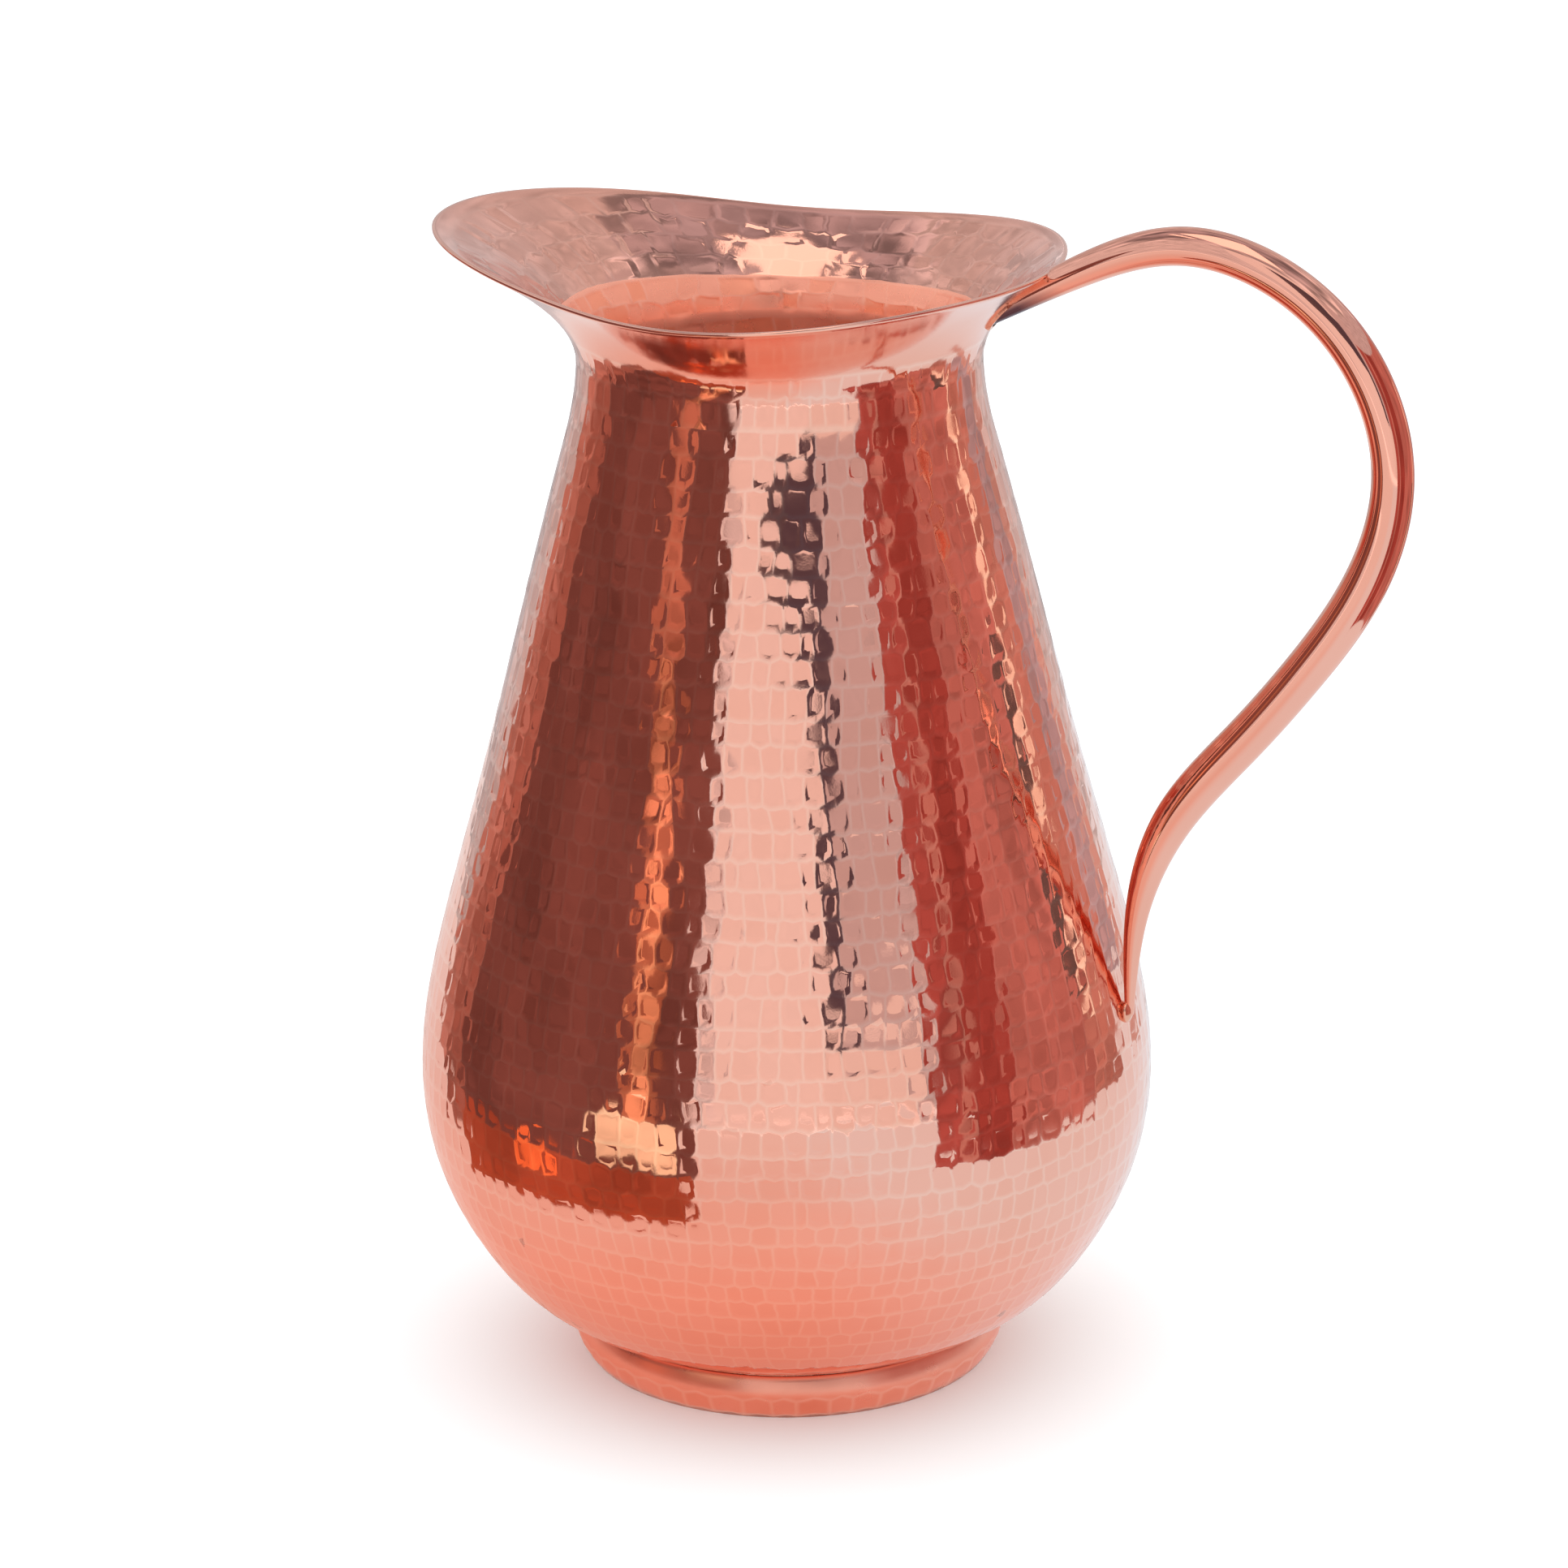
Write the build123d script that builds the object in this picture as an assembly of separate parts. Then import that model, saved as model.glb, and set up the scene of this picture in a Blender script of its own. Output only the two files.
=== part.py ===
from build123d import *
import math
import os

# Hammered copper water jug, mm. The origin is on the jug's axis at its base:
# +Z up, +X toward the handle, the spout toward -X, the same on both sides of XZ.

sheet = 1.0            # copper sheet of the body and the foot

# Body: one raised sheet, outer radius and height from the flat bottom to the neck
bottom_radius = 26.0
bottom_height = 4.0
belly_radius = 75.0
belly_height = 61.0
neck_radius = 40.3
neck_height = 209.8
lower_curve = [(38.0, 7.8), (47.0, 11.4), (56.2, 17.4), (64.9, 28.0), (71.6, 41.5)]
upper_curve = [(70.0, 93.0), (60.5, 127.4), (51.6, 161.9), (43.6, 192.0), (41.0, 203.0)]

# Flared mouth: reach and height of the lip as waves round the axis, counted from
# the spout: mean, once round (pull to the spout), twice round (saddle), and so on
lip_reach = (60.5, 4.0, 2.6, 3.4, 0.5, -0.3)
lip_height = (230.4, 1.8, 2.8, 0.7, -0.3)
flare_power = 2.0      # the flare leaves the neck upright and opens as a parabola
flare_top = 240.0      # above the whole lip, where the flare's blank ends
flare_levels = 9
flare_points = 36

# Foot: an upright ring, its band leaning in to the rest, its shoulder to the body
foot_rest_radius = 42.3
foot_band_radius = 44.6
foot_band_height = 4.9
foot_shoulder_radius = 44.2
foot_shoulder_height = 7.3
foot_neck_radius = 43.3
foot_neck_height = 9.6

# Braze inside the foot, in the corner between the ring and the body
foot_seam_inner = 39.0
foot_seam_inner_low = 7.6
foot_seam_inner_top = 9.2
foot_seam_outer = 43.6
foot_seam_outer_low = 6.8
foot_seam_neck = 42.9
foot_seam_neck_low = 9.2
foot_seam_neck_top = 9.8

# Handle: a solid forged rod in the XZ plane, its centre line and its thickness
handle_line = [
    (42.8, 221.1), (62.0, 231.4), (82.4, 237.8), (103.5, 232.1),
    (118.7, 217.2), (125.2, 196.4), (120.8, 175.4), (109.5, 156.7),
    (96.1, 139.7), (82.5, 122.4), (75.2, 102.2), (73.8, 80.5),
]
handle_width = [4.2, 6.3, 7.6, 8.0, 8.2, 8.3, 8.8, 8.7, 8.7, 8.1, 4.8, 1.8]

# Brazed seams of the handle
seam_rise = 0.7        # how far the upper seam stands off the flare
seam_margin = 0.8      # how far it shows beside the rod
seam_stations = 2      # the handle's stations that lie along it
bead_centre = (73.3, 81.0)
bead_radius = 2.3
bead_flatness = 0.5


def waves(amounts, angle):
    """Add up the waves at an angle counted from the spout."""
    return sum(amount * math.cos(k * angle) for k, amount in enumerate(amounts))


def flare_radius(angle, height, offset):
    """Radius of the flare at a height, its wall moved outward by offset."""
    rise = waves(lip_height, angle) - neck_height
    spread = waves(lip_reach, angle) - neck_radius
    share = (height - neck_height) / rise
    radius = neck_radius + spread * share ** flare_power
    slope = spread * flare_power * share ** (flare_power - 1) / rise
    return radius + offset * math.hypot(1, slope)


def flare_block(offset):
    """Filled inside of the flare, from the neck to above the lip."""
    sections = []
    for level in range(flare_levels):
        height = neck_height + (flare_top - neck_height) * level / (flare_levels - 1)
        if level == 0:
            ring = Circle(neck_radius + offset).face()
            sections.append(ring.moved(Location((0, 0, height))))
            continue
        points = []
        for k in range(flare_points):
            angle = 2 * math.pi * k / flare_points
            radius = flare_radius(math.pi - angle, height, offset)
            points.append((radius * math.cos(angle), radius * math.sin(angle), height))
        sections.append(make_face(Spline(*points, periodic=True)))
    return loft(sections)


def lip_prism():
    """Upright prism of the lip's outline seen from above."""
    points = []
    for k in range(flare_points):
        angle = 2 * math.pi * k / flare_points
        reach = waves(lip_reach, math.pi - angle)
        points.append((reach * math.cos(angle), reach * math.sin(angle), neck_height))
    return extrude(make_face(Spline(*points, periodic=True)), flare_top - neck_height)


def body_outline():
    """Outer curve of the body from the edge of its bottom to the neck, in XZ."""
    points = [(bottom_radius, bottom_height)]
    points += lower_curve
    points += [(belly_radius, belly_height)]
    points += upper_curve
    points += [(neck_radius, neck_height)]
    spots = [(radius, 0, height) for radius, height in points]
    return Spline(*spots)


def body_block():
    """Filled outside of the body up to the neck."""
    curve = body_outline()
    floor = Line((0, 0, bottom_height), curve @ 0)
    top = Line(curve @ 1, (0, 0, neck_height))
    axis = Line((0, 0, neck_height), (0, 0, bottom_height))
    return revolve(make_face([floor, curve, top, axis]), Axis.Z)


def body_hollow(samples=40):
    """Filled inside of the body up to the neck, one sheet in from the outside."""
    curve = body_outline()
    spots = []
    for k in range(samples + 1):
        tangent = curve % (k / samples)
        inward = Vector(-tangent.Z, 0, tangent.X)
        spots.append(curve @ (k / samples) + inward * sheet)
    spots[-1] = Vector(neck_radius - sheet, 0, neck_height)
    inner = Spline(*spots)
    floor = Line((0, 0, bottom_height + sheet), inner @ 0)
    top = Line(inner @ 1, (0, 0, neck_height))
    axis = Line((0, 0, neck_height), (0, 0, bottom_height + sheet))
    return revolve(make_face([floor, inner, top, axis]), Axis.Z)


def filled_vessel():
    """The whole vessel as one filled block, for cutting what sits against it."""
    return body_block() + (flare_block(0) & lip_prism())


def vessel_body():
    """Raised sheet body, neck and flared mouth in one piece."""
    belly = body_block() - body_hollow()
    flare = (flare_block(0) - flare_block(-sheet)) & lip_prism()
    return belly + flare


def foot_wall(inset):
    """Outline of the foot's wall from the rest to the neck, moved inward by inset."""
    rest = (foot_rest_radius - inset, 0)
    crease = (foot_band_radius - inset, foot_band_height)
    shoulder = (foot_shoulder_radius - inset, foot_shoulder_height)
    neck = (foot_neck_radius - inset, foot_neck_height)
    band = Spline(rest, crease, tangents=[(0.75, 1), (0.1, 1)])
    return [band, ThreePointArc(crease, shoulder, neck)]


def foot_ring(vessel):
    """Ring of sheet under the body, open underneath, its upper edge on the body."""
    outer = foot_wall(0)
    inner = foot_wall(sheet)
    rest = Line(outer[0] @ 0, inner[0] @ 0)
    top = Line(outer[1] @ 1, inner[1] @ 1)
    section = make_face([*outer, top, *inner, rest])
    return revolve(Plane.XZ * section, Axis.Z) - vessel


def foot_braze(vessel, ring):
    """Ring of brazing metal filling the corner between the foot and the body."""
    with BuildPart() as seam:
        with BuildSketch(Plane.XZ):
            with BuildLine():
                Polyline((foot_seam_inner, foot_seam_inner_low),
                         (foot_seam_outer, foot_seam_outer_low),
                         (foot_seam_neck, foot_seam_neck_low),
                         (foot_seam_neck, foot_seam_neck_top),
                         (foot_seam_inner, foot_seam_inner_top), close=True)
            make_face()
        revolve(axis=Axis.Z)
    return seam.part - vessel - ring


def rod(stations, margin):
    """Tapered round rod through some of the handle's stations, margin wider a side."""
    line = Spline(*[(x, 0, z) for x, z in handle_line])
    rounds = []
    for k in stations:
        x, z = handle_line[k]
        along = line.tangent_at(Vector(x, 0, z))
        plane = Plane(origin=(x, 0, z), x_dir=(0, 1, 0), z_dir=along)
        rounds.append(plane * Circle(handle_width[k] / 2 + margin))
    return loft(rounds)


def handle(vessel):
    """Whole handle, both ends scarfed to lie on the vessel."""
    return rod(range(len(handle_line)), 0) - vessel


def upper_handle_braze(vessel, grip):
    """Seam that runs round the handle's scarfed end under the flare."""
    fat_rod = rod(range(seam_stations), seam_margin)
    skin = flare_block(seam_rise) & lip_prism()
    return (fat_rod & skin) - vessel - grip


def lower_handle_braze(vessel, grip):
    """Small flat bead at the handle's pointed end on the belly."""
    x, z = bead_centre
    bead = scale(Sphere(bead_radius), by=(bead_flatness, 1, 1))
    return bead.moved(Location((x, 0, z))) - vessel - grip


def main():
    os.makedirs("parts", exist_ok=True)
    vessel = filled_vessel()
    ring = foot_ring(vessel)
    grip = handle(vessel)
    pieces = {
        "vessel_body": vessel_body(),
        "foot_ring": ring,
        "foot_braze": foot_braze(vessel, ring),
        "handle": grip,
        "upper_handle_braze": upper_handle_braze(vessel, grip),
        "lower_handle_braze": lower_handle_braze(vessel, grip),
    }
    for name, piece in pieces.items():
        piece.label = name
        export_step(piece, f"parts/{name}.step")


main()
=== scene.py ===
import bisect
import math
import random

import bpy
import numpy as np
from mathutils import Matrix, Vector


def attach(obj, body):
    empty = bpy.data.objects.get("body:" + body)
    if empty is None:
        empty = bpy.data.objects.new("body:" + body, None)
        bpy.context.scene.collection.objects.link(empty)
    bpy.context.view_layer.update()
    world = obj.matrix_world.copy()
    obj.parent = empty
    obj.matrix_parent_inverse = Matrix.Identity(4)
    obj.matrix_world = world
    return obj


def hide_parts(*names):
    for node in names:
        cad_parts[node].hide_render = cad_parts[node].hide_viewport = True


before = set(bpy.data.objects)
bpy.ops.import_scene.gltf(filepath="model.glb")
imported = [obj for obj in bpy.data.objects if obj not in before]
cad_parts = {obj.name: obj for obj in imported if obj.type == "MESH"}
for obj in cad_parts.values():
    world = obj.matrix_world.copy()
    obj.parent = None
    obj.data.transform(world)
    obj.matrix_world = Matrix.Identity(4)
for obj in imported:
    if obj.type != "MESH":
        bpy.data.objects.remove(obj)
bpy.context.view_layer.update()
print("frame loaded, nodes:", ", ".join(sorted(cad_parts)))

mm = 0.001
fullTurn = 2 * math.pi
chance = random.Random(41)      # one seed, so that every run hammers the same jug


# lines and loops shared by the pieces


def throughPoints(points, finer=60):
    # natural cubic line through the points, spaced by their distance in the first two columns
    spots = np.array(points, float)
    steps = np.linalg.norm(np.diff(spots[:, :2], axis=0), axis=1)
    matrix = np.eye(len(spots))
    pull = np.zeros_like(spots)
    for k in range(1, len(spots) - 1):
        before, after = steps[k - 1], steps[k]
        matrix[k, k - 1:k + 2] = before, 2 * (before + after), after
        pull[k] = 6 * ((spots[k + 1] - spots[k]) / after - (spots[k] - spots[k - 1]) / before)
    bend = np.linalg.solve(matrix, pull)
    line = []
    for k, step in enumerate(steps):
        for share in np.arange(finer) / finer:
            rest = 1 - share
            spot = rest * spots[k] + share * spots[k + 1]
            curl = (rest ** 3 - rest) * bend[k] + (share ** 3 - share) * bend[k + 1]
            line.append(spot + curl * step ** 2 / 6)
    line.append(spots[-1])
    return np.array(line)


def lengthsAlong(line):
    steps = np.linalg.norm(np.diff(line[:, :2], axis=0), axis=1)
    return np.concatenate([[0.0], np.cumsum(steps)])


def newShell():
    return {"spots": [], "ridge": [], "blow": [], "faces": [], "finish": []}


def addSpot(shell, spot, ridge=0.0, blow=0.5):
    shell["spots"].append(spot)
    shell["ridge"].append(ridge)
    shell["blow"].append(blow)
    return len(shell["spots"]) - 1


def addFace(shell, corners, finish, inward=False):
    shell["faces"].append(tuple(reversed(corners)) if inward else tuple(corners))
    shell["finish"].append(finish)


def addRing(shell, place, along, out, count, ridge=0.0, uneven=0.0):
    loop = []
    for k in range(count):
        turn = fullTurn * k / count
        lift = out + (chance.uniform(-uneven, uneven) if uneven else 0)
        loop.append((turn, addSpot(shell, place(turn, along, lift), ridge)))
    return loop


def joinLoops(shell, low, high, finish, inward=False):
    # closes the strip between two loops, whatever their counts
    low, high = sorted(low), sorted(high)
    if len(low) == len(high) and all(abs(a[0] - b[0]) < 1e-9 for a, b in zip(low, high)):
        for k in range(len(low)):
            after = (k + 1) % len(low)
            corners = (low[k][1], low[after][1], high[after][1], high[k][1])
            addFace(shell, corners, finish, inward)
        return
    i = j = 0
    while i < len(low) or j < len(high):
        nextLow = low[(i + 1) % len(low)][0] + fullTurn * ((i + 1) // len(low))
        nextHigh = high[(j + 1) % len(high)][0] + fullTurn * ((j + 1) // len(high))
        here, above = low[i % len(low)][1], high[j % len(high)][1]
        if i < len(low) and (j >= len(high) or nextLow <= nextHigh):
            addFace(shell, (here, low[(i + 1) % len(low)][1], above), finish, inward)
            i += 1
        else:
            addFace(shell, (here, high[(j + 1) % len(high)][1], above), finish, inward)
            j += 1


def closeLoop(shell, loop, spot, finish, inward=False):
    middle = addSpot(shell, spot)
    loop = sorted(loop)
    for k in range(len(loop)):
        after = (k + 1) % len(loop)
        addFace(shell, (loop[k][1], loop[after][1], middle), finish, inward)


def ridgeMarks(rows, k, cellTurn, blow):
    # the ends of the upright ridges that meet ridge line k, two of them joined where they are close
    ends = []
    for row in (k - 1, k):
        if 0 <= row < len(rows):
            for i, turn in enumerate(rows[row]):
                slip = chance.uniform(-1, 1) * blow["lean"] * cellTurn
                ends.append(((turn + slip) % fullTurn, row, i))
    ends.sort()
    gaps = [(ends[(i + 1) % len(ends)][0] - ends[i][0]) % fullTurn for i in range(len(ends))]
    first = (gaps.index(max(gaps)) + 1) % len(ends)
    ends = ends[first:] + ends[:first]
    marks = []
    for turn, row, i in ends:
        if marks:
            gap = (turn - marks[-1]["turn"]) % fullTurn
            lone = len(marks[-1]["owners"]) == 1 and marks[-1]["owners"][0][0] != row
            if lone and gap < blow["merge"] * cellTurn:
                marks[-1]["owners"].append((row, i))
                marks[-1]["turn"] += gap / 2
                continue
        marks.append({"turn": turn, "owners": [(row, i)]})
    return marks


hammering = {
    "swayCounts": (2, 3, 5),        # waves that a ridge line may make round the jug
    "sagShape": 0.6,                # below 1 makes the sag of a mark's edge full and round
    "longEdge": 0.5,                # share of a mark's width from which its edge bends midway
    "middleWave": 0.5,
    "sideBends": (1 / 3, 2 / 3),    # where the upright ridges bend
    "sideLean": 0.4,
    "riseChange": (0.7, 1.3),
    "depthChange": (0.75, 1.25),
    "leastFloor": 0.25,             # share of its outline that a mark's floor keeps at least
}


def sagUnder(marks, turn):
    # how far a spot is into the mark above it: 0 at its two ends, 1 in its middle
    spots = [mark - marks[0] for mark in marks] + [fullTurn]
    away = (turn - marks[0]) % fullTurn
    k = min(bisect.bisect_right(spots, away), len(marks)) - 1
    return math.sin(math.pi * (away - spots[k]) / (spots[k + 1] - spots[k])) ** hammering["sagShape"]


def hammeredWall(shell, place, radiusAt, lines, cells, blow, finish, inward=False):
    # a wall of hammer marks between ridge lines: each mark is a shallow dish with rounded
    # corners, and neighbours share a soft ridge
    rows = []
    for count in cells:
        first = chance.random() * fullTurn / count
        slips = [chance.uniform(-1, 1) * blow["slip"] for _ in range(count)]
        rows.append([first + (i + slips[i]) * fullTurn / count for i in range(count)])
    ridges, corners = [], []
    for k, along in enumerate(lines):
        cellTurn = fullTurn / cells[min(k, len(cells) - 1)]
        marks = ridgeMarks(rows, k, cellTurn, blow)
        ridge, corner = [], {}
        wave, sway = blow["wave"], blow["sway"]
        if k in (0, len(lines) - 1):
            wave *= blow["edgeWave"]
            sway *= blow["edgeWave"]
        swayTurn = chance.uniform(0, fullTurn)
        swayCount = chance.choice(hammering["swayCounts"])
        for m, mark in enumerate(marks):
            nextTurn = marks[(m + 1) % len(marks)]["turn"]
            gap = (nextTurn - mark["turn"]) % fullTurn
            sagging = sway * math.sin(swayCount * mark["turn"] + swayTurn)
            height = along + sagging + chance.uniform(-wave, wave)
            for owner in mark["owners"]:
                corner[owner] = len(ridge)
            ridge.append([mark["turn"] % fullTurn, height])
            if gap > hammering["longEdge"] * cellTurn:
                lumps = chance.uniform(-wave, wave) * hammering["middleWave"]
                height = along + sagging + blow["arch"] + lumps
                ridge.append([(mark["turn"] + gap / 2) % fullTurn, height])
        for spot in ridge:
            lift = blow["rise"] * chance.uniform(*hammering["riseChange"])
            if 0 < k < len(lines) - 1:
                spot[1] -= blow["sag"] * (sagUnder(rows[k], spot[0]) - 0.5)
            spot.append(addSpot(shell, place(spot[0], spot[1], lift), 1.0))
        ridges.append(ridge)
        corners.append(corner)
    for row, marks in enumerate(rows):
        sides = []
        for i in range(len(marks)):
            low = ridges[row][corners[row][(row, i)]]
            high = ridges[row + 1][corners[row + 1][(row, i)]]
            swing = (high[0] - low[0] + math.pi) % fullTurn - math.pi
            side = []
            for share in hammering["sideBends"]:
                lean = chance.uniform(-1, 1) * blow["lean"] * hammering["sideLean"]
                turn = (low[0] + swing * share + lean * fullTurn / len(marks)) % fullTurn
                height = low[1] + (high[1] - low[1]) * share
                lift = blow["rise"] * chance.uniform(*hammering["riseChange"])
                side.append([turn, height, addSpot(shell, place(turn, height, lift), 1.0)])
            sides.append(side)
        for i in range(len(marks)):
            after = (i + 1) % len(marks)
            outline = walk(ridges[row], corners[row][(row, i)], corners[row][(row, after)])
            outline += sides[after]
            top = walk(ridges[row + 1], corners[row + 1][(row, i)], corners[row + 1][(row, after)])
            outline += top[::-1]
            outline += sides[i][::-1]
            dishedCell(shell, place, radiusAt, outline, blow, finish, inward)
    firstLoop = [(spot[0], spot[2]) for spot in ridges[0]]
    lastLoop = [(spot[0], spot[2]) for spot in ridges[-1]]
    return firstLoop, lastLoop


def walk(ridge, start, end):
    # the spots of a ridge line from one to another
    spots = [ridge[start]]
    while start != end:
        start = (start + 1) % len(ridge)
        spots.append(ridge[start])
    return spots


def dishedCell(shell, place, radiusAt, outline, blow, finish, inward):
    # fills one mark's outline with two inner loops and a middle, sunk and tilted a little
    home = outline[0][0]
    turns = [(spot[0] - home + math.pi) % fullTurn - math.pi for spot in outline]
    heights = [spot[1] for spot in outline]
    midTurn = (min(turns) + max(turns)) / 2
    midHeight = (min(heights) + max(heights)) / 2
    radius = radiusAt(midHeight)
    dx = [(turn - midTurn) * radius for turn in turns]
    dy = [height - midHeight for height in heights]
    far = [math.hypot(x, y) for x, y in zip(dx, dy)]
    near = min(far)
    mean = sum(far) / len(far)
    lean = math.radians(chance.gauss(0, blow["tilt"]))
    nod = math.radians(chance.gauss(blow["nod"], blow["nodTilt"]))
    depth = blow["depth"] * chance.uniform(*hammering["depthChange"])
    tint = chance.random()
    rings = []
    for share in (1, blow["floor"]):
        ring = []
        for k in range(len(outline)):
            inset = blow["edge"] + blow["round"] * (far[k] - near)
            keep = share * max(1 - inset / far[k], hammering["leastFloor"])
            x, y = dx[k] * keep, dy[k] * keep + blow["droop"]
            flat = blow["flat"] * x * x / (2 * radius)
            out = -depth + flat + blow["dish"] * (math.hypot(x, y) / mean) ** 2
            out = min(out + lean * x + nod * y, blow["rise"] - blow["groove"])
            turn, height = home + midTurn + x / radius, midHeight + y
            ring.append(addSpot(shell, place(turn, height, out), 0.0, tint))
        rings.append(ring)
    inner, floor = rings
    spot = place(home + midTurn, midHeight + blow["droop"], -depth)
    middle = addSpot(shell, spot, 0.0, tint)
    for k in range(len(outline)):
        after = (k + 1) % len(outline)
        a, b = outline[k][2], outline[after][2]
        addFace(shell, (a, b, inner[after], inner[k]), finish, inward)
        addFace(shell, (inner[k], inner[after], floor[after], floor[k]), finish, inward)
        addFace(shell, (floor[k], floor[after], middle), finish, inward)


def finishedObject(shell, name, materials):
    data = bpy.data.meshes.new(name)
    spots = [(x * mm, y * mm, z * mm) for x, y, z in shell["spots"]]
    data.from_pydata(spots, [], shell["faces"])
    for key in ("ridge", "blow"):
        values = data.attributes.new(key, "FLOAT", "POINT")
        values.data.foreach_set("value", shell[key])
    for material in materials:
        data.materials.append(material)
    data.polygons.foreach_set("material_index", shell["finish"])
    data.polygons.foreach_set("use_smooth", [True] * len(shell["faces"]))
    data.update()
    piece = bpy.data.objects.new(name, data)
    bpy.context.scene.collection.objects.link(piece)
    return piece


# copper and braze finishes


finishing = {
    "patches": ((0.35, 0.68), 3),   # range of the noise that counts, and its detail
    "roughness": ((0.3, 0.7), 4),
    "grainDetail": 2,
    "ridges": (0.35, 1),
}


def newMaterial(name):
    material = bpy.data.materials.new(name)
    material.use_nodes = True
    return material, material.node_tree


def spread(tree, value, source, target, shape="LINEAR"):
    # stretches one range of numbers to another
    box = tree.nodes.new("ShaderNodeMapRange")
    box.interpolation_type = shape
    for key, number in zip(("From Min", "From Max", "To Min", "To Max"), (*source, *target)):
        box.inputs[key].default_value = number
    tree.links.new(value, box.inputs["Value"])
    return box.outputs["Result"]


def colourMixer(tree):
    # the Mix node repeats its sockets' names, so those for colours go by number
    mixer = tree.nodes.new("ShaderNodeMix")
    mixer.data_type = "RGBA"
    return mixer.inputs["Factor"], mixer.inputs[6], mixer.inputs[7], mixer.outputs[2]


def copperFinish(name, look):
    material, tree = newMaterial(name)
    nodes, links = tree.nodes, tree.links
    shader = nodes["Principled BSDF"]
    shader.inputs["Metallic"].default_value = look["metal"]
    shader.inputs["Specular Tint"].default_value = (*look["glance"], 1)
    where = nodes.new("ShaderNodeTexCoord")

    def noise(scale, detail, stretch=(1, 1, 1)):
        stretched = nodes.new("ShaderNodeMapping")
        stretched.inputs["Scale"].default_value = stretch
        links.new(where.outputs["Object"], stretched.inputs["Vector"])
        cloud = nodes.new("ShaderNodeTexNoise")
        cloud.inputs["Scale"].default_value = scale
        cloud.inputs["Detail"].default_value = detail
        links.new(stretched.outputs["Vector"], cloud.inputs["Vector"])
        return cloud.outputs["Fac"]

    def attribute(key):
        reader = nodes.new("ShaderNodeAttribute")
        reader.attribute_name = key
        return reader.outputs["Fac"]

    def blend(amount, first, second):
        factor, *sockets, result = colourMixer(tree)
        links.new(amount, factor)
        for socket, colour in zip(sockets, (first, second)):
            if isinstance(colour, tuple):
                socket.default_value = (*colour, 1)
            else:
                links.new(colour, socket)
        return result

    counted, detail = finishing["patches"]
    patches = spread(tree, noise(look["patchScale"], detail), counted, (0, 1))
    colour = blend(patches, look["colour"], look["patchColour"])
    tinted = spread(tree, attribute("blow"), (0, 1), (0, look["blowShare"]))
    colour = blend(tinted, colour, look["blowColour"])
    # paler ridges: partly wear, partly painted highlight; on the handle the same value carries
    # painted shade
    wearAndPaintedLight = spread(tree, attribute("ridge"), finishing["ridges"], (0, look["ridgeShare"]))
    colour = blend(wearAndPaintedLight, colour, look["ridgeColour"])
    links.new(colour, shader.inputs["Base Color"])
    counted, detail = finishing["roughness"]
    rough = spread(tree, noise(look["roughScale"], detail), counted, look["rough"])
    links.new(rough, shader.inputs["Roughness"])
    bump = nodes.new("ShaderNodeBump")
    bump.inputs["Strength"].default_value = look["bump"]
    bump.inputs["Distance"].default_value = look["bumpDepth"]
    grain = noise(look["grain"], finishing["grainDetail"], look["grainStretch"])
    links.new(grain, bump.inputs["Height"])
    links.new(bump.outputs["Normal"], shader.inputs["Normal"])
    return material


hammeredLook = {
    "colour": (0.93, 0.455, 0.345),
    "patchColour": (0.90, 0.425, 0.315),
    "patchScale": 28.0,
    "blowColour": (0.95, 0.52, 0.42),
    "blowShare": 0.35,
    # paler ridges between the marks: wear and a painted highlight
    "ridgeColour": (0.96, 0.66, 0.54),
    "ridgeShare": 0.42,
    "glance": (1.0, 1.0, 1.0),
    "metal": 1.0,
    "rough": (0.045, 0.10),
    "roughScale": 160.0,
    "grain": 2600.0,
    "grainStretch": (1, 1, 1),
    "bump": 0.10,
    "bumpDepth": 0.00002,
}
polishedLook = dict(
    hammeredLook,
    rough=(0.035, 0.075),
    blowShare=0.0,
    bump=0.06,
    grain=1500.0,
    grainStretch=(1, 1, 0.12),
)
flareLook = dict(polishedLook, rough=(0.09, 0.16), bump=0.30, bumpDepth=0.00003)
# its dark ridge colour is painted shade and reflection, put where the handle meets the flare
gripPaintedShadeLook = dict(polishedLook, ridgeColour=(0.05, 0.035, 0.06), ridgeShare=0.92)
mouthLook = dict(hammeredLook, ridgeShare=0.12, rough=(0.07, 0.13), bump=0.2)
throatLook = dict(
    hammeredLook,
    colour=(0.95, 0.33, 0.19),
    patchColour=(0.88, 0.28, 0.16),
    ridgeShare=0.15,
    metal=0.5,
    rough=(0.22, 0.34),
    bump=0.25,
)
footLook = dict(
    hammeredLook,
    colour=(0.90, 0.38, 0.27),
    patchColour=(0.82, 0.32, 0.22),
    patchScale=60.0,
    metal=0.92,
    rough=(0.26, 0.36),
    grain=1900.0,
    bump=0.45,
)
brazeLook = dict(
    hammeredLook,
    colour=(0.90, 0.44, 0.31),
    patchColour=(0.78, 0.36, 0.24),
    patchScale=240.0,
    blowShare=0.0,
    ridgeShare=0.0,
    rough=(0.10, 0.28),
    grain=900.0,
    bump=0.6,
    bumpDepth=0.00008,
)
hammeredCopper = copperFinish("hammeredCopper", hammeredLook)
gripCopper = copperFinish("gripCopper", gripPaintedShadeLook)
flareCopper = copperFinish("flareCopper", flareLook)
mouthCopper = copperFinish("mouthCopper", mouthLook)
throatCopper = copperFinish("throatCopper", throatLook)
footCopper = copperFinish("footCopper", footLook)
brazeCopper = copperFinish("brazeCopper", brazeLook)
print("copper finishes made")


# vessel: raised body, neck and flared mouth in one sheet; its numbers, and those of the foot
# and the handle, are in mm

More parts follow.
